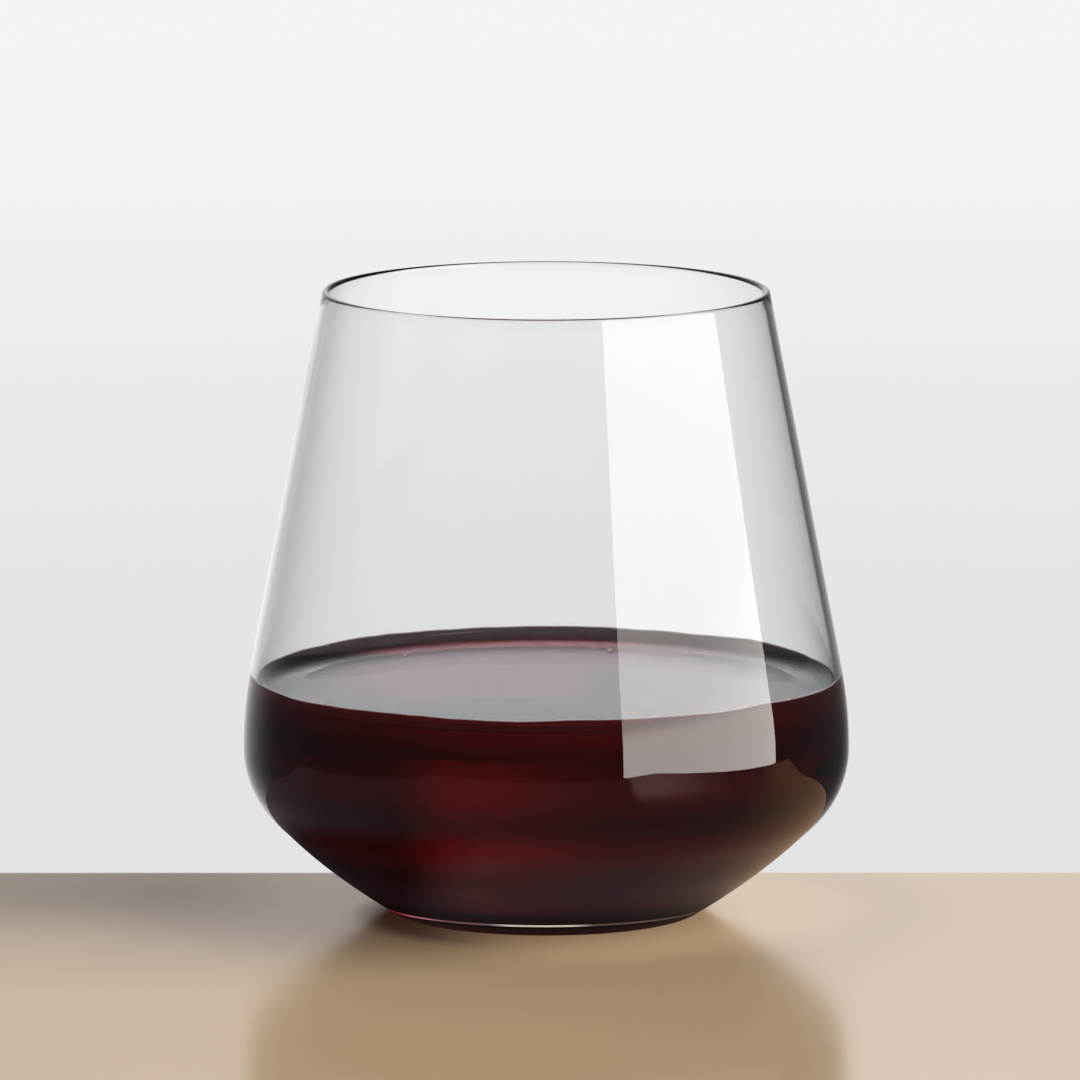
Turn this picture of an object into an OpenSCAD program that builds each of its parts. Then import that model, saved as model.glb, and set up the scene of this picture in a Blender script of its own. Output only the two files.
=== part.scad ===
// Stemless wine glass, part filled with red wine.
// Everything is turned about the Z axis. The glass stands on Z = 0.

/* [Bowl] */
// Overall height of the glass
height = 103; // [92:1:118]
// Outer diameter at the rim
rim_d = 73.6; // [64:0.2:86]
// Outer diameter at the widest point
belly_d = 100; // [92:1:114]
// Height of the widest point above the table
belly_z = 27.2; // [24:0.2:32]
// Radius of the long arc that rises from the widest point
upper_arc = 68; // [50:1:84]
// Radius of the shoulder just below the widest point
shoulder_arc = 16.8; // [13:0.2:19]
// Radius of the long arc from the shoulder down to the foot
lower_arc = 118; // [90:1:200]

/* [Foot] */
// Diameter at which the lower wall runs down to the table
foot_d = 50.4; // [44:0.2:58]
// Radius that rounds the outer edge of the foot
foot_edge_arc = 1.8; // [0.6:0.1:3]
// Width of the flat ring that the glass stands on
ring_w = 3; // [1.5:0.1:6]
// Height of the shallow hollow inside that ring
punt_h = 1.2; // [0.4:0.1:2.4]

/* [Wall] */
// Thickness of the wall from the rim down to the shoulder
wall = 1.2; // [0.8:0.1:2]
// Thickness of the wall where it comes down to the foot
low_wall = 2.2; // [1:0.1:3.6]
// Height of the inside floor above the table
floor_z = 4.6; // [3.6:0.1:8]
// Radius that rounds the inside floor into the wall
floor_arc = 9; // [3:0.5:14]

/* [Wine] */
// Height of the wine's level surface above the table
wine_level = 36.2; // [28:0.2:56]
// Height that the wine climbs up the wall
climb = 3.2; // [1.2:0.1:3.6]
// Radius of the curve that it climbs along
climb_arc = 4.2; // [3.8:0.1:6]

/* [Bubbles] */
// Diameter of the largest bubble on the wine
bubble_d = 0.9; // [0.5:0.1:1.6]
// Distance of the innermost bubbles from the edge of the level surface
bubble_band = 3; // [2:0.1:6]

/* [Hidden] */
$fn = 240;

// How far the chords of a curve may stand off its true line
curve_tol = 0.01;
// Thickness of the wine's upper edge, where it ends against the wall
wine_edge = 0.04;
// Each bubble: degrees round from the back, place across the band, size
bubble_shares = [
    [11, 0.3, 0.6],
    [15, 0.55, 1],
    [16.5, 0.35, 0.7],
    [24, 0.5, 0.8],
    [25.5, 0.75, 1],
    [27, 0.3, 0.55],
    [28.5, 0.6, 0.9],
    [31, 0.4, 0.75],
    [-34, 0.35, 0.7],
];

function unit(v) = v / norm(v);

function bearing(v) = atan2(v.y, v.x);

function reverse(list) = [for (i = [len(list) - 1:-1:0]) list[i]];

// Points along an arc, without its last one, where the next stretch begins
function arc(centre, r, from, to) =
    let (steps = ceil(abs(to - from) / (2 * acos(1 - curve_tol / r))))
    [for (i = [0:steps - 1]) let (a = from + (to - from) * i / steps) centre + r * [cos(a), sin(a)]];

// Upper wall: the long arc above the widest point, then a straight line to the rim
lip_r = wall / 2;
lip = [rim_d / 2 - lip_r, height - lip_r];
upper = [belly_d / 2 - upper_arc, belly_z];
lean = bearing(lip - upper) - acos((upper_arc - lip_r) / norm(lip - upper));
outward = [cos(lean), sin(lean)];

// Lower wall: the shoulder, then the long arc that runs through the foot
shoulder = [belly_d / 2 - shoulder_arc, belly_z];

// Centre of a long arc that leaves the shoulder smoothly and passes through a point of the foot
function lower_centre(lower_r, shoulder_r, foot) =
    let (
        gap = lower_r - shoulder_r,
        span = norm(foot - shoulder),
        down = (foot - shoulder) / span,
        along = (gap * gap - lower_r * lower_r + span * span) / (2 * span),
        aside = sqrt(gap * gap - along * along)
    )
    shoulder + along * down + aside * [down.y, -down.x];

// Centre of the round between that long arc and a level floor
function edge_centre(lower, lower_r, edge_r, base_z) =
    let (edge_z = base_z + edge_r)
    [lower.x + sqrt(pow(lower_r - edge_r, 2) - pow(edge_z - lower.y, 2)), edge_z];

// One face of the wall, inset from the outside, from its floor's edge to the end of the upper arc
function face(inset, low_inset, base_z, edge_r) =
    let (
        shoulder_r = shoulder_arc - inset,
        lower_r = lower_arc - low_inset,
        lower = lower_centre(lower_r, shoulder_r, foot_point - low_inset * foot_outward),
        edge = edge_centre(lower, lower_r, edge_r, base_z)
    )
    concat(
        arc(edge, edge_r, -90, bearing(edge - lower)),
        arc(lower, lower_r, bearing(edge - lower), bearing(shoulder - lower)),
        arc(shoulder, shoulder_r, bearing(shoulder - lower), 0),
        arc(upper, upper_arc - inset, 0, lean),
        [upper + (upper_arc - inset) * outward]
    );

foot_point = [foot_d / 2, 0];
foot_lower = lower_centre(lower_arc, shoulder_arc, foot_point);
foot_outward = unit(foot_point - foot_lower);

outside = face(0, 0, 0, foot_edge_arc);
inside = concat(face(wall, low_wall, floor_z, floor_arc), [lip - lip_r * outward]);

// Hollow under the foot: a shallow dome, as wide as the standing ring leaves free
punt_r = edge_centre(foot_lower, lower_arc, foot_edge_arc, 0).x - ring_w;
dome_r = (punt_r * punt_r + punt_h * punt_h) / (2 * punt_h);
dome = [0, punt_h - dome_r];
punt = concat(arc(dome, dome_r, 90, bearing([punt_r, 0] - dome)), [[punt_r, 0]]);

module glass() {
    color([0.86, 0.88, 0.88, 0.35])
    rotate_extrude()
    polygon(concat(punt, outside, arc(lip, lip_r, lean, lean + 180), reverse(inside), [[0, floor_z]]));
}

// Radius of the inside face at a height above the shoulder's turn
function inside_r(z) =
    let (line_start = upper + (upper_arc - wall) * outward)
    z > line_start.y ? line_start.x - (z - line_start.y) * tan(lean)
    : z > belly_z ? upper.x + sqrt(pow(upper_arc - wall, 2) - pow(z - belly_z, 2))
    : shoulder.x + sqrt(pow(shoulder_arc - wall, 2) - pow(belly_z - z, 2));

// The wine is level out to level_r, then climbs an arc up to the wall
contact_z = wine_level + climb;
climb_end = asin(climb / climb_arc - 1);
level_r = inside_r(contact_z) - wine_edge - climb_arc * cos(climb_end);

module wine() {
    climb_centre = [level_r, wine_level + climb_arc];
    color([0.24, 0.02, 0.05])
    rotate_extrude()
    intersection() {
        polygon(concat([[0, floor_z]], inside, [[0, height]]));
        polygon(concat(
            [[0, wine_level]],
            arc(climb_centre, climb_arc, -90, climb_end),
            [
                climb_centre + climb_arc * [cos(climb_end), sin(climb_end)],
                [belly_d, contact_z],
                [belly_d, 0],
                [0, 0],
            ]
        ));
    }
}

// Half a ball that lies on the wine
module bubble(r) {
    rotate_extrude($fn = 24)
    intersection() {
        circle(r, $fn = 24);
        square(r);
    }
}

module bubbles() {
    color([0.55, 0.45, 0.5])
    for (b = bubble_shares)
        rotate(-b[0])
        translate([0, level_r - b[1] * bubble_band, wine_level])
        bubble(b[2] * bubble_d / 2);
}

glass();
wine();
bubbles();
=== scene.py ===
import bpy
import math
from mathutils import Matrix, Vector


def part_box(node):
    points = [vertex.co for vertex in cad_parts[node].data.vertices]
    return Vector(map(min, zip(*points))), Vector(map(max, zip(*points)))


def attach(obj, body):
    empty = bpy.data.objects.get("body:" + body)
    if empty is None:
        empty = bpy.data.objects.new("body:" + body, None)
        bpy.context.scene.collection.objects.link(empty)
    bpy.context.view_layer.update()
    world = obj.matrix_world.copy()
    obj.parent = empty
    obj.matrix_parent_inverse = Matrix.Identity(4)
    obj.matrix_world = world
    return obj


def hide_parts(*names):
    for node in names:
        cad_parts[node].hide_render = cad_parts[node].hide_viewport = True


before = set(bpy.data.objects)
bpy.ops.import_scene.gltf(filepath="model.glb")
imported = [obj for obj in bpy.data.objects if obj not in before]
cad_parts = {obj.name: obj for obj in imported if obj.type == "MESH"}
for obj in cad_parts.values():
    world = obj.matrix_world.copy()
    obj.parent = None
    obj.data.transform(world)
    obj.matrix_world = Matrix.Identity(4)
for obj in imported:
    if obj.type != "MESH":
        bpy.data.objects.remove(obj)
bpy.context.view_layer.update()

white, black = (1, 1, 1, 1), (0, 0, 0, 1)


# A wrapped socket, so that shader and geometry maths read as plain expressions
class Value:
    def __init__(self, tree, socket):
        self.tree = tree
        self.socket = socket

    def maths(self, operation, *others, flip=False):
        terms = [self, *others][::-1] if flip else [self, *others]
        return self.tree.add("ShaderNodeMath", {"operation": operation}, *terms)

    def __add__(self, other):
        return self.maths("ADD", other)

    def __radd__(self, other):
        return self.maths("ADD", other)

    def __sub__(self, other):
        return self.maths("SUBTRACT", other)

    def __rsub__(self, other):
        return self.maths("SUBTRACT", other, flip=True)

    def __mul__(self, other):
        return self.maths("MULTIPLY", other)

    def __rmul__(self, other):
        return self.maths("MULTIPLY", other)

    def __truediv__(self, other):
        return self.maths("DIVIDE", other)

    def __gt__(self, other):
        return self.maths("GREATER_THAN", other)

    def __lt__(self, other):
        return self.maths("LESS_THAN", other)


class Tree:
    def __init__(self, nodeTree):
        self.nodes = nodeTree.nodes
        self.links = nodeTree.links

    # Adds a node: its settings first, then its sockets by place or by name; gives the first live output
    def add(self, kind, settings=None, *places, out=None, **named):
        node = self.nodes.new(kind)
        for key, setting in (settings or {}).items():
            if key == "stops":
                stops = node.color_ramp.elements
                while len(stops) < len(setting):
                    stops.new(1.0)
                for stop, (at, colour) in zip(stops, setting):
                    stop.position = at
                    stop.color = colour
            else:
                setattr(node, key, setting)
        live = [s for s in node.inputs if s.enabled]
        given = list(zip(live, places))
        given += [(self.find(node.inputs, name), value) for name, value in named.items()]
        for socket, value in given:
            if isinstance(value, Value):
                self.links.new(value.socket, socket)
            elif value is not None:
                socket.default_value = value
        if out is not None:
            return Value(self, self.find(node.outputs, out))
        live = [s for s in node.outputs if s.enabled]
        return Value(self, live[0]) if live else node

    def find(self, sockets, name):
        plain = name.replace("_", " ").lower()
        return next(s for s in sockets if s.enabled and s.name.lower() == plain)

    # A smooth step from 0 to 1 as value goes from low to high
    def ramp(self, value, low, high):
        smooth = {"interpolation_type": "SMOOTHSTEP"}
        return self.add("ShaderNodeMapRange", smooth, value, low, high, 0.0, 1.0)

    # From one colour to another as the factor goes from 0 to 1
    def blend(self, factor, first, second):
        return self.add("ShaderNodeMix", {"data_type": "RGBA"}, factor, first, second)

    # The same from one shader to another
    def cover(self, factor, first, second):
        return self.add("ShaderNodeMixShader", None, factor, first, second)

    # The three parts of a vector
    def axes(self, vector):
        parts = self.add("ShaderNodeSeparateXYZ", None, vector, out="X").socket.node.outputs
        return [Value(self, part) for part in parts]

    def attribute(self, name):
        return self.add("GeometryNodeInputNamedAttribute", {"data_type": "FLOAT"}, name, out="Attribute")


def newMaterial(name):
    material = bpy.data.materials.new(name)
    material.use_nodes = True
    material.node_tree.nodes.clear()
    return material, Tree(material.node_tree)


def finishMaterial(tree, surface, volume=None):
    tree.add("ShaderNodeOutputMaterial", None, Surface=surface, Volume=volume)


def objectPlace(tree):
    return tree.add("ShaderNodeTexCoord", out="Object")


# Camera, as far off and as high as the photograph was taken from
cameraView = {
    "distance": 1.99,
    "elevation": 8.76,
    "aimHeight": 0.0615,
    "focalPixels": 12100,
    "imagePixels": 1080,
    "axisPixel": 546,
    "sensorWidth": 36,
    "clipEnd": 100,
}


def makeCamera(view):
    data = bpy.data.cameras.new("camera")
    data.sensor_width = view["sensorWidth"]
    data.lens = view["focalPixels"] / view["imagePixels"] * data.sensor_width
    data.shift_x = (view["imagePixels"] / 2 - view["axisPixel"]) / view["imagePixels"]
    data.clip_end = view["clipEnd"]
    camera = bpy.data.objects.new("camera", data)
    tilt = math.radians(view["elevation"])
    aim = Vector((0, 0, view["aimHeight"]))
    camera.location = aim + view["distance"] * Vector((0, -math.cos(tilt), math.sin(tilt)))
    camera.rotation_euler = (math.pi / 2 - tilt, 0, 0)
    bpy.context.collection.objects.link(camera)
    bpy.context.scene.camera = camera


makeCamera(cameraView)
bpy.context.scene.view_settings.view_transform = "Standard"
print("camera set")


# Studio: a large softbox on the right, a white backdrop, and a table that runs out to white.
# Lengths are in metres and bearings in degrees. Two values side by side say where a change starts and ends.
studio = {
    # Each lamp: bearing from the front, distance, width, lower and upper edge
    "softbox": (62, 1.1, 1.45, -0.25, 1.3),
    "key": (90, 1.1, 0.9, 0.1, 1.1),
    "softboxPower": 50,
    "softboxColour": (1.0, 0.94, 0.89),
    # The softbox dims upwards between two heights, to this share
    "softboxDimmed": (0.12, 0.23, 0.6),
    "keyPower": 19,
    # White: as the camera sees it, as it lights matt surfaces, and as the backdrop and the floor show it
    # through glass
    "white": 0.91,
    "fill": 0.76,
    "throughGlass": 1.0,
    "throughGain": 1.13,
    # Light through the wine: its least, then where it rises and falls, and by how much
    "glowLeast": 0.62,
    "glowStart": (17, 9, 1.75),
    "glowEnd": (6.5, -8.5, 1.37),
    "glowFar": (3, 12, 0.5),
    # What the glass mirrors: white in front and dark beyond, with the steepness of each side
    "mirrorWhite": 1.05,
    "mirrorDark": 0.08,
    "mirrorLeft": (-60, -10, 2),
    "mirrorRight": (42, 2, 4),
    "mirrorTop": (0.95, 0.75),
    # What the wine's level surface mirrors of the backdrop is brighter and cooler
    "surfaceGain": (0.17, 0.35, 0.8),
    "surfaceHue": (0.98, 1.03, 1.07, 1),
    # Table: its colour and a painted red shade beside the foot, as near, far, left and right, and in front
    "floorColour": (0.455, 0.315, 0.185, 1),
    "floorRedShade": (0.3, 0.18, 0.14, 1),
    "redShadeReach": (0.04, 0.085, -0.03, 0.01),
    "redShadeFront": (0.012, 0.042),
    # Painted light: a glow that stands in for light the glass passes on to the table, with the least share
    # of it on the left
    "passedOn": (0.18, 0.118, 0.066, 1),
    "passedReach": (0.034, 0.06),
    "passedAside": (-0.026, 0.006, 0.3),
    # Painted shadows: against the foot (near, far, left, right, depth), and the soft one further left
    # (start, full, falling, end, front, back, depth)
    "shadeCentre": (0, -0.006, 0),
    "shadeColour": (0.06, 0.008, 0.012, 1),
    "shadeReach": (0.026, 0.034, -0.026, -0.005, 0.75),
    "castReach": (0.035, 0.066, 0.085, 0.15, -0.032, 0.014, 0.36),
    "castColour": (0.02, 0.045, 0.09, 1),
    # Gloss: its roughness, its share on the left and on the right, and where that changes
    "floorRoughness": 0.17,
    "floorGloss": (0.205, 0.335),
    "floorGlossReach": (-0.05, 0.08),
    # Half the floor's width, where the table fades out, where it ends behind, and the white beyond it
    "floorReach": 12,
    "tableReach": (0.18, 0.55),
    "floorBack": (0.0316, 0.0328),
    "horizonWhite": 0.77,
    "horizonReach": (0.1, 1.3),
    # The table as glass and wine mirror it, a painted reflection: left, front, right, back, then its
    # colours, painted shadows and painted sheen
    "boardCorners": (-0.24, -0.34, 0.29, 0.034),
    "boardLeftShaded": (0.17, 0.145, 0.15, 1),
    "boardRightLit": (0.52, 0.33, 0.2, 1),
    "boardSlope": (-0.005, 0.07),
    "boardFront": (0.0, 0.05),
    "boardShade": (0.048, 0.068, -0.028, -0.012, 0.88),
    "footShade": (0.025, 0.035, 0.85),
    "boardSheen": (28, 31, 38, 68, 0.08, 0.25),
    "sheenColour": (1.1, 0.7, 0.74, 1),
}


# A ray has crossed more faces of glass and wine than this when it comes out at the wine's far side,
# when it comes back off the level surface, and when it came in by the wine's front edge
crossings = {"throughWine": 4.5, "offSurface": 3.5, "byFrontEdge": 2.5}


def crossed(tree, way):
    return tree.add("ShaderNodeLightPath", out="Transmission Depth") > crossings[way]


# Whether a ray comes straight from the camera, whether it left a matt surface, and whether it was mirrored
def rayKinds(tree):
    seen = tree.add("ShaderNodeLightPath", out="Is Camera Ray")
    path = seen.socket.node
    matt = Value(tree, path.outputs["Is Diffuse Ray"])
    mirrored = Value(tree, path.outputs["Glossy Depth"]) > 0.5
    return seen, matt, mirrored


# Bearing in degrees of a point, from how far across and along it is
def turnOf(across, along):
    return across.maths("ARCTAN2", along) * math.degrees(1)


# A straight rise from 0 at one value to 1 at another, kept between the two and raised to a power
def slope(tree, value, low, high, power):
    return tree.add("ShaderNodeMapRange", None, value, low, high, 0.0, 1.0).maths("POWER", power)


# Light that comes through the wine is stronger from some bearings than from others
def throughWine(tree, turn, look):
    deep = crossed(tree, "throughWine")
    start, end, gain = look["glowStart"]
    level = look["glowLeast"] + tree.ramp(turn, start, end) * gain
    start, end, gain = look["glowEnd"]
    level = level - tree.ramp(turn, start, end) * gain
    return 1 + deep * (level - 1)


# Level of the white beyond the floor: a little darker close behind the glass than far off
def whiteLevel(tree, away, look):
    far = tree.ramp(away, *look["horizonReach"])
    return look["horizonWhite"] + far * (look["white"] - look["horizonWhite"])


def makeWorld(look):
    world = bpy.data.worlds.new("studio")
    world.use_nodes = True
    world.node_tree.nodes.clear()
    tree = Tree(world.node_tree)
    seen, matt, mirrored = rayKinds(tree)
    way = tree.add("ShaderNodeTexCoord", out="Generated")
    across, along, up = tree.axes(way)
    turn = turnOf(across, along)
    backdrop = slope(tree, turn, *look["mirrorLeft"]) * slope(tree, turn, *look["mirrorRight"])
    backdrop = backdrop * tree.ramp(up, *look["mirrorTop"])
    dark = look["mirrorDark"]
    through = look["throughGlass"] * throughWine(tree, turn, look)
    # What the wine's level surface mirrors, seen through both walls
    surface = crossed(tree, "offSurface") * (along > 0) * mirrored
    start, end, gain = look["surfaceGain"]
    backdrop = backdrop * (1 + surface * tree.ramp(up, start, end) * gain)
    hue = tree.blend(surface, white, look["surfaceHue"])
    clear = (1 - mirrored) * through + mirrored * (dark + backdrop * (look["mirrorWhite"] - dark))
    level = seen * look["white"] + (1 - seen) * (matt * look["fill"] + (1 - matt) * clear)
    back = tree.add("ShaderNodeBackground", None, Color=hue, Strength=level)
    tree.add("ShaderNodeOutputWorld", None, Surface=back)
    bpy.context.scene.world = world


def makeLamp(name, power, bearing, distance, width, low, high):
    data = bpy.data.lights.new(name, "AREA")
    data.shape = "RECTANGLE"
    data.size = width
    data.size_y = high - low
    data.energy = power
    lamp = bpy.data.objects.new(name, data)
    bearing = math.radians(bearing)
    away = Vector((math.sin(bearing), -math.cos(bearing), 0)) * distance
    lamp.location = away + Vector((0, 0, (high + low) / 2))
    lamp.rotation_euler = (math.pi / 2, 0, bearing)
    lamp.visible_camera = False
    lamp.visible_transmission = False
    bpy.context.collection.objects.link(lamp)
    return lamp


# The box that gloss mirrors dims upwards. Matt surfaces are lit by a smaller lamp, square from the right.
def makeSoftbox(look):
    mirroredBox = makeLamp("softbox", look["softboxPower"], *look["softbox"])
    mirroredBox.visible_diffuse = False
    mirroredBox.data.use_nodes = True
    mirroredBox.data.node_tree.nodes.clear()
    tree = Tree(mirroredBox.data.node_tree)
    mirroredBox.data.color = look["softboxColour"]
    place = tree.add("ShaderNodeNewGeometry", out="Position")
    low, high, least = look["softboxDimmed"]
    dimmed = tree.ramp(tree.axes(place)[2], low, high)
    glow = tree.add("ShaderNodeEmission", None, Strength=1 - dimmed * (1 - least))
    tree.add("ShaderNodeOutputLight", None, Surface=glow)
    makeLamp("keyLight", look["keyPower"], *look["key"]).visible_glossy = False
    return mirroredBox


# Keeps a lamp's light off one object
def keepOff(lamp, thing):
    unlit = bpy.data.collections.new("unlit")
    unlit.objects.link(thing)
    unlit.collection_objects[0].light_linking.link_state = "EXCLUDE"
    lamp.light_linking.receiver_collection = unlit


# The table near the glass, with its gloss, and painted light and painted shadows where glass and wine cast
# them on it
def tableNear(tree, look, where, matt):
    place, away, across, along = where
    # Painted shade, tinted red as by light through the wine: beside the foot the table's colour turns
    # darker and redder
    near, far, left, right = look["redShadeReach"]
    redShade = (1 - tree.ramp(away, near, far)) * (1 - tree.ramp(across, left, right))
    redShade = redShade * (1 - tree.ramp(0 - along, *look["redShadeFront"]))
    colour = tree.blend(redShade, look["floorColour"], look["floorRedShade"])
    table = tree.add("ShaderNodeBsdfDiffuse", None, Color=colour)
    least, most = look["floorGloss"]
    gloss = least + tree.ramp(across, *look["floorGlossReach"]) * (most - least)
    sheen = tree.add("ShaderNodeBsdfAnisotropic", None, Color=white, Roughness=look["floorRoughness"])
    table = tree.cover(gloss * (1 - matt), table, sheen)
    # Painted light: an emission about the foot, weaker on the left, stands in for light that the glass
    # passes on
    left, right, least = look["passedAside"]
    passed = (1 - tree.ramp(away, *look["passedReach"])) * (1 - matt)
    passed = passed * (least + tree.ramp(across, left, right) * (1 - least))
    passed = tree.add("ShaderNodeEmission", None, Color=look["passedOn"], Strength=passed)
    table = tree.add("ShaderNodeAddShader", None, table, passed)
    # Painted shadow: a dark red matt patch against the foot, on the side away from the lamp, for the shadow
    # that the wine reddens and deepens
    aside = tree.add(
        "ShaderNodeVectorMath", {"operation": "DISTANCE"}, place, look["shadeCentre"], out="Value"
    )
    near, far, left, right, depth = look["shadeReach"]
    shade = (1 - tree.ramp(aside, near, far)) * (1 - tree.ramp(across, left, right)) * depth
    shadow = tree.add("ShaderNodeBsdfDiffuse", None, Color=look["shadeColour"])
    table = tree.cover(shade * (1 - matt), table, shadow)
    # Further off on that side, a painted shadow, a dark bluish matt patch, stands in for the soft edge of
    # the glass's long shadow
    start, full, falling, end, front, back, depth = look["castReach"]
    off = 0 - across
    cast = tree.ramp(off, start, full) * (1 - tree.ramp(off, falling, end))
    cast = cast * tree.ramp(along, front, back)
    shadow = tree.add("ShaderNodeBsdfDiffuse", None, Color=look["castColour"])
    return tree.cover(cast * depth * (1 - matt), table, shadow)


# The white that the table runs out to, and what the wine lets through of it
def tableFar(tree, look, where, seen, deep):
    _, away, across, along = where
    start, end, loss = look["glowFar"]
    through = look["throughGain"] * (1 - deep * tree.ramp(turnOf(across, along), start, end) * loss)
    level = whiteLevel(tree, away, look) * (seen + (1 - seen) * through)
    return tree.add("ShaderNodeEmission", None, Color=white, Strength=level)


# Painted reflection: the table as glass and wine mirror it is a painted board, with painted shade about the
# foot and on the left, and a painted sheen on the right
def tablePaintedReflection(tree, look, where):
    _, away, across, along = where
    left, front, right, back = look["boardCorners"]
    board = (across > left) * (across < right) * (along > front) * (along < back)
    # Painted light and shade: darker on the left, lighter and warmer on the right where the lamp falls,
    # fading towards the front
    litShare = tree.ramp(across, *look["boardSlope"]) * (1 - tree.ramp(0 - along, *look["boardFront"]))
    colour = tree.blend(litShare, look["boardLeftShaded"], look["boardRightLit"])
    # Painted shade: darker about the foot on the left, and close round the foot on every side
    near, far, left, right, loss = look["boardShade"]
    level = 1 - (1 - tree.ramp(away, near, far)) * (1 - tree.ramp(across, left, right)) * loss
    near, far, loss = look["footShade"]
    level = level * (1 - (1 - tree.ramp(away, near, far)) * loss)
    # Painted sheen: a lighter band at some bearings on the right, away from the foot
    start, full, falling, end, near, far = look["boardSheen"]
    aside = turnOf(across, 0 - along)
    sheen = tree.ramp(aside, start, full) * (1 - tree.ramp(aside, falling, end))
    sheen = sheen * tree.ramp(away, near, far)
    colour = tree.blend(sheen, colour, look["sheenColour"])
    image = tree.add("ShaderNodeEmission", None, Color=colour, Strength=level)
    beyond = tree.add("ShaderNodeBsdfTransparent", None, Color=white)
    return tree.cover(board, beyond, image)


def makeFloor(look):
    reach = look["floorReach"]
    corners = [(-reach, -reach, 0), (reach, -reach, 0), (reach, reach, 0), (-reach, reach, 0)]
    mesh = bpy.data.meshes.new("floor")
    mesh.from_pydata(corners, [], [(0, 1, 2, 3)])
    floor = bpy.data.objects.new("floor", mesh)
    bpy.context.collection.objects.link(floor)
    material, tree = newMaterial("paleFloor")
    seen, matt, mirrored = rayKinds(tree)
    place = objectPlace(tree)
    away = tree.add("ShaderNodeVectorMath", {"operation": "LENGTH"}, place, out="Value")
    across, along, _ = tree.axes(place)
    where = (place, away, across, along)
    # The table ends close behind the glass, and runs out to the same white on its other sides
    deep = crossed(tree, "throughWine")
    fade = tree.ramp(along, *look["floorBack"])
    fade = fade.maths("MAXIMUM", tree.ramp(away, *look["tableReach"]) * (1 - deep))
    near = tableNear(tree, look, where, matt)
    far = tableFar(tree, look, where, seen, deep)
    shown = tree.cover(fade * (1 - matt), near, far)
    finishMaterial(tree, tree.cover(mirrored, shown, tablePaintedReflection(tree, look, where)))
    mesh.materials.append(material)
    return floor


makeWorld(studio)
keepOff(makeSoftbox(studio), makeFloor(studio))
print("studio lit")


# Glass: clear soda-lime, with the faint waves of a blown wall, a foot ring dulled by wear, and a faint
# painted red glow on its underside
glassFinishAndGlow = {
    "colour": (0.985, 0.99, 0.988, 1),
    "index": 1.52,
    "waveSize": 0.018,
    "waveHeight": 0.00002,
    "waveDetail": 1.0,
    "wearRoughness": 0.3,
    "wearHeight": 0.0003,
    "scratchScale": 900.0,
    "scratchDetail": 4.0,
    "underGlow": (0.011, 0.0025, 0.0025, 1),
    "underHeight": (0.0012, 0.0014),
}
# Wine, its film, the painted highlight along its edge and the painted light in the foot
wineFinishAndPaintedLight = {
    "index": 1.34,
    # What a metre of it takes from red, green and blue
    "taken": (26, 60, 45),
    # Tints: at the side, at the level surface, and at the side above the level
    "tint": (0.42, 0.05, 0.065, 1),
    "levelTint": (0.05, 0.004, 0.006, 1),
    "thinTint": (0.75, 0.55, 0.62, 1),
    # The part that climbs the wall: where it starts and where it stands steep, as heights over the level
    "thinnestTint": (0.36, 0.06, 0.08, 1),
    "thinnestStart": (0.0003, 0.0007),
    # Painted shade: from outside the climb is tinted near black, darker than its thin wine; from inside it
    # is lighter, and climbGlow is painted light
    "climbTint": (0.006, 0.004, 0.004, 1),
    "climbStart": (0.0007, 0.0013),
    "climbTintFromInside": (1.0, 0.35, 0.36, 1),
    "climbGlow": (0.032, 0.003, 0.004, 1),
    # For rays that came in by the front edge, and for mirrored ones
    "againTint": (1.0, 0.75, 0.75, 1),
    "mirroredTint": (0.95, 0.9, 0.93, 1),
    "mirroredBelow": 0.001,
    # Painted level bands of light: height of the crest, distance, middle, swing, and how many lie below it
    "bands": (0.027, 0.0104, 0.9, 0.4, 1.5),
    # Darker tint where the side is seen at a slant: partly the longer path through the wine, partly painted
    # shade
    "slantTint": (0.12, 0.03, 0.035, 1),
    "slant": (0.04, 0.2),
    # An index just over one, since the glass's wet face does the bending there
    "sideIndex": 1.001,
    "filmColour": (0.95, 0.9, 0.9, 1),
    "filmRoughness": 0.02,
    # The painted highlight along the edge, a pale thread, and its lumps
    "edgeColour": (0.93, 0.87, 0.85, 1),
    "edgeRoughness": (0.15, 0.3),
    "lumpScale": 700.0,
    "lumpDetail": 2.0,
    # Colours of the painted light in the foot, from left to right across its width
    "footWidth": 0.05,
    "footRoughness": 0.4,
    "footColours": (
        (0.03, (0.8, 0.02, 0.055, 1)), (0.1, (0.55, 0.2, 0.24, 1)), (0.18, (0.22, 0.07, 0.08, 1)),
        (0.32, (0.14, 0.09, 0.09, 1)), (0.38, (0.55, 0.51, 0.43, 1)), (0.58, (0.6, 0.54, 0.45, 1)),
        (0.65, (0.1, 0.06, 0.05, 1)), (1.0, (0.14, 0.08, 0.06, 1)),
    ),
    # Painted light: a faint red glow makes the foot of the wine, seen through the wall, a little redder
    # than its depth makes it
    "lowGlow": (0.013, 0.0012, 0.0008, 1),
    "lowHeight": (0.0062, 0.008),
}


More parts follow.
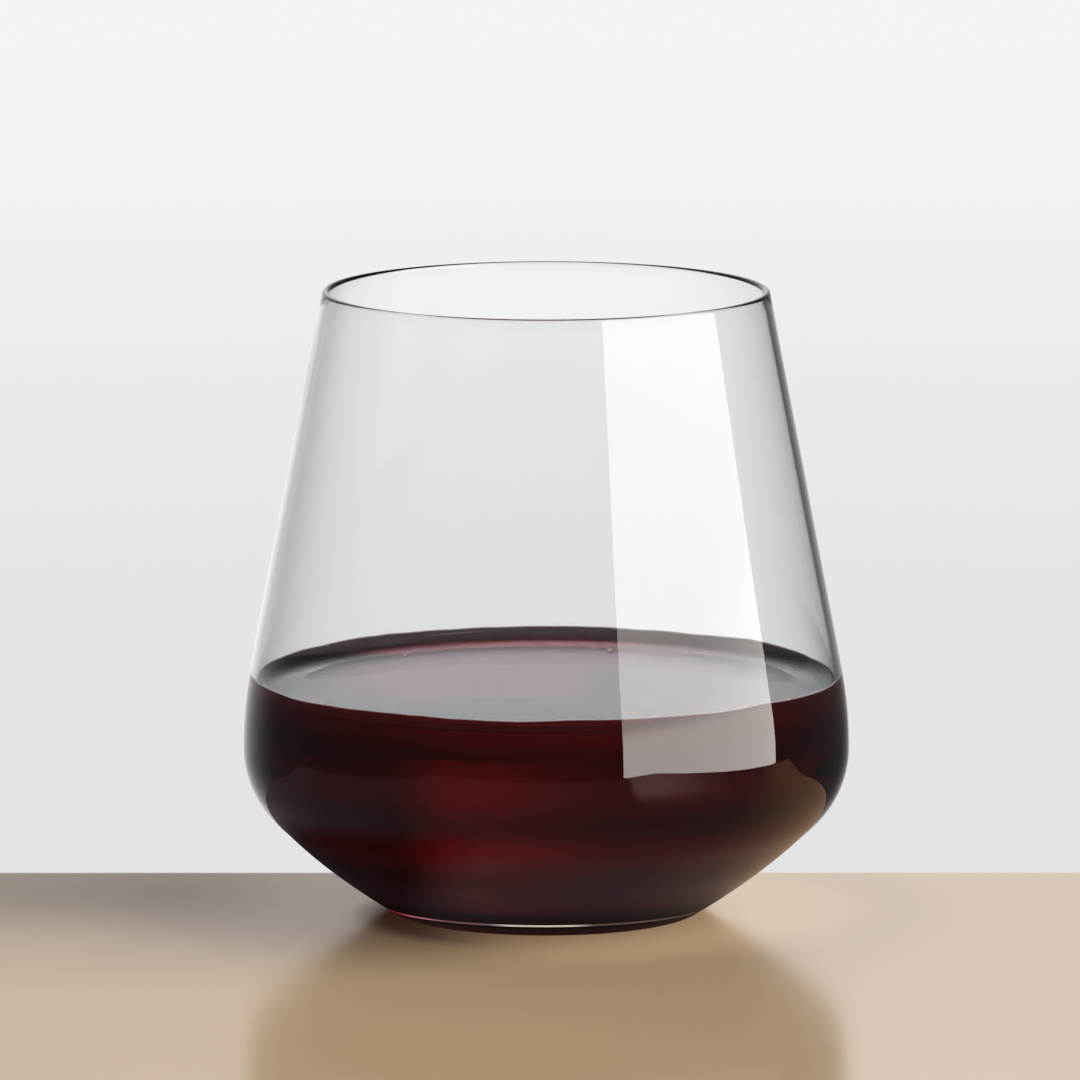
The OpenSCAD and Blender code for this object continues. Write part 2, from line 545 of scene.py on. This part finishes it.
def clearGlass(look):
    material, tree = newMaterial("clearGlass")
    place = objectPlace(tree)
    waves = tree.add(
        "ShaderNodeTexNoise", None, out="Fac",
        Vector=place, Scale=1 / look["waveSize"], Detail=look["waveDetail"],
    )
    bump = tree.add("ShaderNodeBump", None, Height=waves, Distance=look["waveHeight"], Strength=1.0)
    height = tree.axes(place)[2]
    worn = 1 - tree.ramp(height, 0.0, look["wearHeight"])
    scratches = tree.add(
        "ShaderNodeTexNoise", None, out="Fac",
        Vector=place, Scale=look["scratchScale"], Detail=look["scratchDetail"],
    )
    # Painted light: the underside glows faintly red, for the light that the wine has reddened
    above = tree.ramp(height, *look["underHeight"])
    glow = tree.blend(above, look["underGlow"], black)
    surface = tree.add(
        "ShaderNodeBsdfPrincipled", None,
        Base_Color=look["colour"], Roughness=worn * scratches * look["wearRoughness"],
        IOR=look["index"], Transmission_Weight=1.0, Normal=bump,
        Emission_Color=glow, Emission_Strength=1.0,
    )
    finishMaterial(tree, surface)
    return material


# Where wine wets the glass, light goes from the one straight into the other, and bends less than in air
def wetInside(glass, wine):
    material, tree = newMaterial("wetInside")
    place = objectPlace(tree)
    ripple = tree.add("ShaderNodeTexNoise", None, out="Fac", Vector=place, Scale=1 / glass["waveSize"])
    bump = tree.add("ShaderNodeBump", None, Height=ripple, Distance=glass["waveHeight"], Strength=1.0)
    # Painted light: the wet face glows faintly red low down, at the foot of the wine
    above = tree.ramp(tree.axes(place)[2], *wine["lowHeight"])
    glow = tree.blend(above, wine["lowGlow"], black)
    surface = tree.add(
        "ShaderNodeBsdfPrincipled", None,
        Base_Color=white, Roughness=0.0, IOR=glass["index"] / wine["index"],
        Transmission_Weight=1.0, Normal=bump, Emission_Color=glow, Emission_Strength=1.0,
    )
    finishMaterial(tree, surface)
    return material


# Light that comes in through the top is dimmed by the tints alone: a depth that it enters
# by one material and leaves by another would never end
def wineTop(look, level):
    material, tree = newMaterial("wineTop")
    height = tree.axes(objectPlace(tree))[2]
    rise = height - level
    starting = tree.ramp(rise, *look["thinnestStart"])
    climbing = tree.ramp(rise, *look["climbStart"])
    _, _, mirrored = rayKinds(tree)
    inside = tree.add("ShaderNodeNewGeometry", out="Backfacing")
    # Rays that come through the front edge of the wine cross one face more than others do
    again = crossed(tree, "byFrontEdge") * (1 - inside)
    # Painted shade: seen from outside, the climb is tinted near black
    climb = tree.blend(inside, look["climbTint"], look["climbTintFromInside"])
    tint = tree.blend(starting, look["levelTint"], look["thinnestTint"])
    tint = tree.blend(climbing, tint, climb)
    tint = tree.blend(mirrored, tint, look["mirroredTint"])
    tint = tree.blend(again, tint, look["againTint"])
    # Painted light: from inside, the part that climbs glows a little, for the light that the wine scatters
    glow = tree.blend(inside * climbing, black, look["climbGlow"])
    surface = tree.add(
        "ShaderNodeBsdfPrincipled", None,
        Base_Color=tint, Roughness=0.0, IOR=look["index"], Transmission_Weight=1.0,
        Emission_Color=glow, Emission_Strength=1.0,
    )
    finishMaterial(tree, surface)
    return material


# Against the wall the glass's wet face does the bending, and the wine only colours the light
def wineSide(look, level, contact):
    material, tree = newMaterial("wineSide")
    height = tree.axes(objectPlace(tree))[2]
    thin = tree.ramp(height, level, contact)
    # Painted light: the tint rises and falls in level bands, for glows of the light that comes through the
    # wine
    crest, period, middle, swing, count = look["bands"]
    phase = (height - crest).maths("MAXIMUM", -count * period) * (math.tau / period)
    bands = (middle + phase.maths("COSINE") * swing).maths("POWER", 2)
    inside = tree.add("ShaderNodeNewGeometry", out="Backfacing")
    bands = 1 + (1 - inside) * (bands - 1)
    # Darker at a slant: partly the longer path through the wine, partly painted shade
    slant = tree.ramp(tree.add("ShaderNodeLayerWeight", out="Facing"), *look["slant"])
    tint = tree.blend(slant, look["tint"], look["slantTint"])
    tint = tree.add("ShaderNodeVectorMath", {"operation": "SCALE"}, tint, Scale=bands)
    tint = tree.blend(thin, tint, look["thinTint"])
    _, _, mirrored = rayKinds(tree)
    mirrored = mirrored * (height > level - look["mirroredBelow"])
    tint = tree.blend(mirrored, tint, look["mirroredTint"])
    surface = tree.add(
        "ShaderNodeBsdfPrincipled", None,
        Base_Color=tint, Roughness=0.0, IOR=look["sideIndex"], Transmission_Weight=1.0,
    )
    most = max(look["taken"])
    passed = [1 - taken / most for taken in look["taken"]]
    depth = tree.add("ShaderNodeVolumeAbsorption", None, Color=(*passed, 1), Density=most)
    finishMaterial(tree, surface, depth)
    return material


def wineFilm(look):
    material, tree = newMaterial("wineFilm")
    surface = tree.add(
        "ShaderNodeBsdfPrincipled", None,
        Base_Color=look["filmColour"], Roughness=look["filmRoughness"],
        IOR=look["index"], Transmission_Weight=1.0,
    )
    finishMaterial(tree, surface)
    return material


# Painted highlight: a pale, lit thread along the wine's edge, hidden from mirrored rays, for the bright
# line where the edge catches light from all round
def paintedEdgeHighlight(look):
    material, tree = newMaterial("paintedEdgeHighlight")
    lumps = tree.add(
        "ShaderNodeTexNoise", None, out="Fac",
        Vector=objectPlace(tree), Scale=look["lumpScale"], Detail=look["lumpDetail"],
    )
    smooth, rough = look["edgeRoughness"]
    _, _, mirrored = rayKinds(tree)
    surface = tree.add(
        "ShaderNodeBsdfPrincipled", None,
        Base_Color=look["edgeColour"], Roughness=smooth + rough * lumps,
        IOR=look["index"], Alpha=1 - mirrored,
    )
    finishMaterial(tree, surface)
    return material


# Painted light in the foot: a glowing thread, red on the side away from the lamp, and cream in front,
# hidden from mirrored rays
def paintedFootLight(look):
    material, tree = newMaterial("paintedFootLight")
    across = tree.axes(objectPlace(tree))[0]
    share = across / look["footWidth"] + 0.5
    tint = tree.add("ShaderNodeValToRGB", {"stops": look["footColours"]}, Fac=share, out="Color")
    _, _, mirrored = rayKinds(tree)
    surface = tree.add(
        "ShaderNodeBsdfPrincipled", None,
        Base_Color=tint, Roughness=look["footRoughness"], IOR=look["index"], Alpha=1 - mirrored,
        Emission_Color=tint, Emission_Strength=1.0,
    )
    finishMaterial(tree, surface)
    return material


# A geometry tree with these inputs: the group, its inputs' identifiers, its nodes and its inputs' values
def newGeometryTree(name, inputs):
    group = bpy.data.node_groups.new(name, "GeometryNodeTree")
    sockets = {}
    for label, kind in inputs.items():
        socket = group.interface.new_socket(label, in_out="INPUT", socket_type="NodeSocket" + kind)
        sockets[label] = socket.identifier
    group.interface.new_socket("Result", in_out="OUTPUT", socket_type="NodeSocketGeometry")
    tree = Tree(group)
    source = tree.add("NodeGroupInput").socket.node
    given = {s.name: Value(tree, s) for s in source.outputs if s.name}
    return group, sockets, tree, given


def finishGeometryTree(tree, result):
    tree.add("NodeGroupOutput", None, result)


# Lathe: how full a face's mark has to be, how near points are joined, from how many degrees a corner
# stays sharp, and how finely the wine's edge wobbles
latheLimits = {"markLeast": 0.99, "joined": 2e-7, "sharp": 35, "wobbleDetail": 3.0}


# Turns an outline of points in the XZ plane about the Z axis into a closed skin
def latheTree(limits):
    group, sockets, tree, given = newGeometryTree("lathe", {
        "Outline": "Geometry", "Segments": "Int",
        "Wobble": "Float", "Wobble Lean": "Float", "Wobble Scale": "Float", "Seed": "Float",
        "Material": "Material", "Marked Material": "Material",
    })
    rings = tree.add("GeometryNodeAttributeDomainSize", {"component": "MESH"}, given["Outline"])
    skin = tree.add("GeometryNodeMeshGrid", None, 1.0, 1.0, given["Segments"] + 1, rings)
    around, across, _ = tree.axes(tree.add("GeometryNodeInputPosition"))
    ring = ((across + 0.5) * (rings - 1)).maths("ROUND")
    turn = (around + 0.5) * math.tau

    def sampled(value, kind):
        return tree.add("GeometryNodeSampleIndex", {"data_type": kind}, given["Outline"], value, ring)

    radius, _, height = tree.axes(sampled(tree.add("GeometryNodeInputPosition"), "FLOAT_VECTOR"))
    way = tree.add("ShaderNodeCombineXYZ", None, turn.maths("COSINE"), turn.maths("SINE"), given["Seed"])
    noise = tree.add(
        "ShaderNodeTexNoise", None, out="Fac",
        Vector=way, Scale=given["Wobble Scale"], Detail=limits["wobbleDetail"],
    )
    rise = (noise - 0.5) * given["Wobble"] * sampled(tree.attribute("wetEdge"), "FLOAT")
    radius = radius - rise * given["Wobble Lean"]
    placed = tree.add(
        "ShaderNodeCombineXYZ", None,
        radius * turn.maths("COSINE"), radius * turn.maths("SINE"), height + rise,
    )
    marked = tree.add("GeometryNodeCaptureAttribute", None, skin)
    capture = marked.socket.node
    capture.capture_items.new("FLOAT", "mark")
    tree.links.new(sampled(tree.attribute("mark"), "FLOAT").socket, capture.inputs["mark"])
    skin = tree.add("GeometryNodeSetPosition", None, Geometry=marked, Position=placed)
    whole = Value(tree, capture.outputs["mark"]) > limits["markLeast"]
    skin = tree.add(
        "GeometryNodeStoreNamedAttribute", {"data_type": "FLOAT", "domain": "FACE"},
        Geometry=skin, Name="marked", Value=whole,
    )
    skin = tree.add("GeometryNodeMergeByDistance", None, Geometry=skin, Distance=limits["joined"])
    skin = tree.add("GeometryNodeSetShadeSmooth", {"domain": "FACE"}, skin)
    sharp = math.radians(limits["sharp"])
    corner = tree.add("GeometryNodeInputMeshEdgeAngle", out="Unsigned Angle") > sharp
    skin = tree.add(
        "GeometryNodeSetShadeSmooth", {"domain": "EDGE"},
        Geometry=skin, Selection=corner, Shade_Smooth=False,
    )
    skin = tree.add("GeometryNodeRealizeInstances", None, skin)
    skin = tree.add("GeometryNodeSetMaterial", None, Geometry=skin, Material=given["Material"])
    skin = tree.add(
        "GeometryNodeSetMaterial", None,
        Geometry=skin, Selection=tree.attribute("marked") > 0.5, Material=given["Marked Material"],
    )
    finishGeometryTree(tree, skin)
    return group, sockets


# Sets a copy of one piece on each point, scaled by the point's size
def scatterTree():
    group, sockets, tree, given = newGeometryTree(
        "scatter", {"Places": "Geometry", "Piece": "Object", "Material": "Material"}
    )
    piece = tree.add("GeometryNodeObjectInfo", None, Object=given["Piece"], out="Geometry")
    pieces = tree.add(
        "GeometryNodeInstanceOnPoints", None,
        Points=given["Places"], Instance=piece, Scale=tree.attribute("size"),
    )
    pieces = tree.add("GeometryNodeRealizeInstances", None, pieces)
    pieces = tree.add("GeometryNodeSetMaterial", None, Geometry=pieces, Material=given["Material"])
    finishGeometryTree(tree, pieces)
    return group, sockets


# Gives an object a modifier with these inputs, keeps the plain mesh that comes out, and drops the modifier
def applyTree(piece, group, sockets, inputs):
    modifier = piece.modifiers.new(group.name, "NODES")
    modifier.node_group = group
    for name, value in inputs.items():
        modifier[sockets[name]] = value
    graph = bpy.context.evaluated_depsgraph_get()
    result = bpy.data.meshes.new_from_object(
        piece.evaluated_get(graph), preserve_all_data_layers=True, depsgraph=graph
    )
    piece.modifiers.clear()
    spare = piece.data
    piece.data = result
    bpy.data.meshes.remove(spare)
    return piece


# An outline's points are (radius, height, is it marked, how far it follows the wet edge)
def outlineObject(name, outline):
    mesh = bpy.data.meshes.new(name)
    mesh.from_pydata([(p[0], 0, p[1]) for p in outline], [(i, i + 1) for i in range(len(outline) - 1)], [])
    marks = mesh.attributes.new("mark", "FLOAT", "POINT")
    edges = mesh.attributes.new("wetEdge", "FLOAT", "POINT")
    for i, p in enumerate(outline):
        marks.data[i].value = p[2]
        edges.data[i].value = p[3]
    piece = bpy.data.objects.new(name, mesh)
    bpy.context.collection.objects.link(piece)
    return piece


# Outline: the same arcs and lines as the solid's, with finer steps
glassSizes = {
    "rimDiameter": 0.0736,
    "bellyHeight": 0.0272,
    "upperArc": 0.068,
    "shoulderArc": 0.0168,
    "lowerArc": 0.118,
    "footDiameter": 0.0504,
    "footEdge": 0.0018,
    "ringWidth": 0.003,
    "ringEdge": 0.0009,
    "puntHeight": 0.0012,
    "wall": 0.0012,
    "lowWall": 0.0022,
    "floorHeight": 0.0046,
    "floorArc": 0.009,
    "chordError": 0.0000015,
    "segments": 256,
    # Points along the inside floor, the standing ring and the straight wall
    "floorSteps": 4,
    "ringSteps": 3,
    "wallSteps": 30,
}
# Wine: its climb up the wall, the thickness of its edge, how far it pokes into the glass, and how
# unevenly its edge runs
wineSizes = {
    "climb": 0.0032,
    "climbLength": 0.00245,
    "climbStart": 0.00001,
    "climbPoints": 48,
    "levelSteps": 6,
    "edge": 0.00004,
    "edgeLine": 0.00022,
    "edgeLineSides": 8,
    # The painted line of light in the foot: its thickness, radius and height
    "footLine": 0.0006,
    "footLinePlace": (0.025, 0.0036),
    "poke": 0.00003,
    "wobble": 0.0011,
    "wobbleScale": 2.6,
    "wobbleReach": 0.0026,
    "seed": 4.0,
}


def bearing(v):
    return math.atan2(v.y, v.x)


def onCircle(centre, radius, angle):
    return centre + radius * Vector((math.cos(angle), math.sin(angle)))


# Points along an arc, without its last one
def arc(centre, radius, start, end):
    step = 2 * math.acos(1 - glassSizes["chordError"] / radius)
    count = math.ceil(abs(end - start) / step)
    return [onCircle(centre, radius, start + (end - start) * i / count) for i in range(count)]


# Points along a line, without its last one
def line(start, end, count):
    return [start.lerp(end, i / count) for i in range(count)]


# The bowl's centres and directions in the XZ plane
class Bowl:
    def __init__(self, sizes, height, bellyRadius):
        self.sizes = sizes
        lipRadius = sizes["wall"] / 2
        self.lipRadius = lipRadius
        self.lip = Vector((sizes["rimDiameter"] / 2 - lipRadius, height - lipRadius))
        self.upper = Vector((bellyRadius - sizes["upperArc"], sizes["bellyHeight"]))
        self.shoulder = Vector((bellyRadius - sizes["shoulderArc"], sizes["bellyHeight"]))
        toLip = self.lip - self.upper
        self.lean = bearing(toLip) - math.acos((sizes["upperArc"] - lipRadius) / toLip.length)
        self.outward = Vector((math.cos(self.lean), math.sin(self.lean)))
        foot = Vector((sizes["footDiameter"] / 2, 0))
        self.foot = foot
        footCentre = self.lowerCentre(sizes["lowerArc"], sizes["shoulderArc"], foot)
        self.footOutward = (foot - footCentre).normalized()

    # Centre of the long arc that leaves the shoulder smoothly and passes through a point
    def lowerCentre(self, radius, shoulderRadius, point):
        gap = radius - shoulderRadius
        down = point - self.shoulder
        span = down.length
        down.normalize()
        along = (gap * gap - radius * radius + span * span) / (2 * span)
        aside = math.sqrt(gap * gap - along * along)
        return self.shoulder + along * down + aside * Vector((down.y, -down.x))

    # One face of the wall, from its floor's edge up to where the straight wall starts
    def face(self, inset, lowInset, floor, edgeRadius):
        sizes = self.sizes
        shoulderRadius = sizes["shoulderArc"] - inset
        radius = sizes["lowerArc"] - lowInset
        centre = self.lowerCentre(radius, shoulderRadius, self.foot - lowInset * self.footOutward)
        edgeHeight = floor + edgeRadius
        reach = math.sqrt((radius - edgeRadius) ** 2 - (edgeHeight - centre.y) ** 2)
        edge = Vector((centre.x + reach, edgeHeight))
        points = arc(edge, edgeRadius, -math.pi / 2, bearing(edge - centre))
        points += arc(centre, radius, bearing(edge - centre), bearing(self.shoulder - centre))
        points += arc(self.shoulder, shoulderRadius, bearing(self.shoulder - centre), 0)
        points += arc(self.upper, sizes["upperArc"] - inset, 0, self.lean)
        return points + [self.upper + (sizes["upperArc"] - inset) * self.outward]


print("outlines ready")

_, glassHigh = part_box("glass")
_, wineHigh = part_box("wine")
bowl = Bowl(glassSizes, glassHigh[2], glassHigh[0])


# Inner face of the wall from the middle of the floor up to the rim, moved this far into the glass
def innerFace(poke=0.0):
    sizes = glassSizes
    wall, lowWall, floor = sizes["wall"] - poke, sizes["lowWall"] - poke, sizes["floorHeight"] - poke
    points = bowl.face(wall, lowWall, floor, sizes["floorArc"])
    last = bowl.lip - (bowl.lipRadius - poke) * bowl.outward
    level = line(Vector((0, points[0].y)), points[0], sizes["floorSteps"])
    return level + points[:-1] + line(points[-1], last, sizes["wallSteps"]) + [last]


# Cuts an upward run of points at a height, with a point there
def cutAt(points, height):
    for i in range(1, len(points)):
        low, high = points[i - 1], points[i]
        if high.y >= height > low.y:
            share = (height - low.y) / (high.y - low.y)
            return points[:i], low.lerp(high, share), points[i:]


# How far a point at this height follows the uneven edge
def edgeWeight(height, contact):
    share = max(0, 1 - abs(height - contact) / wineSizes["wobbleReach"])
    return share * share * (3 - 2 * share)


def glassOutline(contact):
    sizes = glassSizes
    outer = bowl.face(0, 0, 0, sizes["footEdge"])
    ringInner = Vector((outer[0].x - sizes["ringWidth"], 0))
    domeRadius = (ringInner.x ** 2 + sizes["puntHeight"] ** 2) / (2 * sizes["puntHeight"])
    dome = Vector((0, sizes["puntHeight"] - domeRadius))
    # The hollow's edge is rounded into the standing ring
    edgeRadius = sizes["ringEdge"]
    edgeX = math.sqrt((domeRadius + edgeRadius) ** 2 - (edgeRadius - dome.y) ** 2)
    edge = Vector((edgeX, edgeRadius))
    meet = bearing(edge - dome)
    under = arc(dome, domeRadius, math.pi / 2, meet)
    under += arc(edge, edgeRadius, meet + math.pi, 1.5 * math.pi)
    under += line(Vector((edgeX, 0)), outer[0], sizes["ringSteps"])
    lipTop = arc(bowl.lip, bowl.lipRadius, bowl.lean, bowl.lean + math.pi)
    straight = line(outer[-1], lipTop[0], sizes["wallSteps"])
    dry = [(p.x, p.y, 0, 0) for p in under + outer[:-1] + straight + lipTop]
    low, at, high = cutAt(innerFace(), contact)
    dry += [(p.x, p.y, 0, edgeWeight(p.y, contact)) for p in reversed(high)]
    wet = [(p.x, p.y, 1, edgeWeight(p.y, contact)) for p in reversed([*low, at])]
    return dry + wet


# The curve of a liquid that climbs a wall: steep at the wall, with a long flat tail
def climbCurve(sizes):
    length, climb = sizes["climbLength"], sizes["climb"]

    def reach(rise):
        share = rise / length
        return length * (math.acosh(2 / share) - math.sqrt(4 - share * share))

    count = sizes["climbPoints"]
    rises = [climb * (i / count) ** 2 for i in range(1, count + 1)]
    rises = [sizes["climbStart"], *[rise for rise in rises if rise > sizes["climbStart"]]]
    return [(reach(rise) - reach(climb), rise) for rise in rises]


def wineOutline(contact):
    sizes = wineSizes
    level = contact - sizes["climb"]
    low, at, _ = cutAt(innerFace(sizes["poke"]), contact)
    side = [(p.x, p.y, 0, edgeWeight(p.y, contact)) for p in low]
    wall = at.x - sizes["edge"] - sizes["poke"]
    climb = [Vector((wall - reach, level + rise)) for reach, rise in climbCurve(sizes)]
    flat = line(Vector((0, level)), climb[0], sizes["levelSteps"])
    top = [(at.x, at.y, 1, 1)]
    top += [(p.x, p.y, 1, ((p.y - level) / sizes["climb"]) ** 2) for p in reversed(flat + climb)]
    return side + top


lathe, latheSockets = latheTree(latheLimits)
clear = clearGlass(glassFinishAndGlow)
wet = wetInside(glassFinishAndGlow, wineFinishAndPaintedLight)
level = wineHigh[2] - wineSizes["climb"]
side = wineSide(wineFinishAndPaintedLight, level, wineHigh[2])
top = wineTop(wineFinishAndPaintedLight, level)
film = wineFilm(wineFinishAndPaintedLight)
pale = paintedEdgeHighlight(wineFinishAndPaintedLight)
footGlow = paintedFootLight(wineFinishAndPaintedLight)


# A thread turned about the axis
def threadOutline(centre, radius, wobble):
    count = wineSizes["edgeLineSides"]
    ring = [onCircle(centre, radius, math.tau * i / count) for i in range(count)]
    return [(p.x, p.y, 0, wobble) for p in [*ring, ring[0]]]


def turned(name, outline, material, markedMaterial):
    return applyTree(outlineObject(name, outline), lathe, latheSockets, {
        "Segments": glassSizes["segments"],
        "Wobble": wineSizes["wobble"],
        "Wobble Lean": math.tan(bowl.lean),
        "Wobble Scale": wineSizes["wobbleScale"],
        "Seed": wineSizes["seed"],
        "Material": material,
        "Marked Material": markedMaterial,
    })


blownGlass = turned("blownGlass", glassOutline(wineHigh[2]), clear, wet)
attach(blownGlass, "root")
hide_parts("glass")
print("glass turned:", len(blownGlass.data.polygons), "faces")

pouredWine = turned("pouredWine", wineOutline(wineHigh[2]), side, top)
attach(pouredWine, "root")
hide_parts("wine")
print("wine poured:", len(pouredWine.data.polygons), "faces")

# Painted highlight: a pale thread for the fine bright line along which the wine's edge meets the glass
_, contactPoint, _ = cutAt(innerFace(wineSizes["poke"]), wineHigh[2])
edgeRadius = wineSizes["edgeLine"] / 2
edgeThread = threadOutline(contactPoint - Vector((edgeRadius, 0)), edgeRadius, 1)
edgeLine = turned("edgeLine", edgeThread, pale, pale)
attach(edgeLine, "root")
print("edge line drawn:", len(edgeLine.data.polygons), "faces")

# Painted light: a glowing thread for the fine bright line in the foot, where the wall turns into the floor
footThread = threadOutline(Vector(wineSizes["footLinePlace"]), wineSizes["footLine"] / 2, 0)
footLine = turned("footLine", footThread, footGlow, footGlow)
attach(footLine, "root")
print("foot line drawn:", len(footLine.data.polygons), "faces")

# Bubbles: each one's degrees round from the back, place across the band, and size
bubbleSizes = {
    "largest": 0.0009,
    "band": 0.003,
    "outermost": 0.04356,
    "film": 0.12,
    "steps": 12,
    "segments": 24,
    "places": (
        (11, 0.3, 0.6), (15, 0.55, 1), (16.5, 0.35, 0.7), (24, 0.5, 0.8), (25.5, 0.75, 1),
        (27, 0.3, 0.55), (28.5, 0.6, 0.9), (31, 0.4, 0.75), (-34, 0.35, 0.7),
    ),
}


# How far the wine has climbed at a distance from the axis
def climbedAt(radius):
    wall = contactPoint.x - wineSizes["edge"] - wineSizes["poke"]
    return max((rise for reach, rise in climbCurve(wineSizes) if wall - reach <= radius), default=0)


# A half ball with a thin skin, one metre in radius until it's scaled
def domeOutline(sizes):
    steps, inner = sizes["steps"], 1 - sizes["film"]
    angles = [math.pi / 2 * i / steps for i in range(steps + 1)]
    outer = [(math.cos(a), math.sin(a), 0, 0) for a in angles]
    hollow = [(inner * math.cos(a), inner * math.sin(a), 0, 0) for a in reversed(angles)]
    return [*hollow, *outer]


def floatBubbles(sizes, material):
    centres, radii = [], []
    for turn, share, size in sizes["places"]:
        out = sizes["outermost"] - share * sizes["band"]
        turn = math.radians(90 - turn)
        height = level + climbedAt(out)
        centres.append((out * math.cos(turn), out * math.sin(turn), height))
        radii.append(size * sizes["largest"] / 2)
    mesh = bpy.data.meshes.new("bubbleSkins")
    mesh.from_pydata(centres, [], [])
    mesh.attributes.new("size", "FLOAT", "POINT").data.foreach_set("value", radii)
    skins = bpy.data.objects.new("bubbleSkins", mesh)
    bpy.context.collection.objects.link(skins)
    dome = outlineObject("dome", domeOutline(sizes))
    applyTree(dome, lathe, latheSockets, {"Segments": sizes["segments"]})
    group, sockets = scatterTree()
    applyTree(skins, group, sockets, {"Piece": dome, "Material": material})
    bpy.data.objects.remove(dome)
    return skins


bubbleSkins = floatBubbles(bubbleSizes, film)
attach(bubbleSkins, "root")
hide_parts("bubbles")
print("bubbles floated:", len(bubbleSkins.data.polygons), "faces")
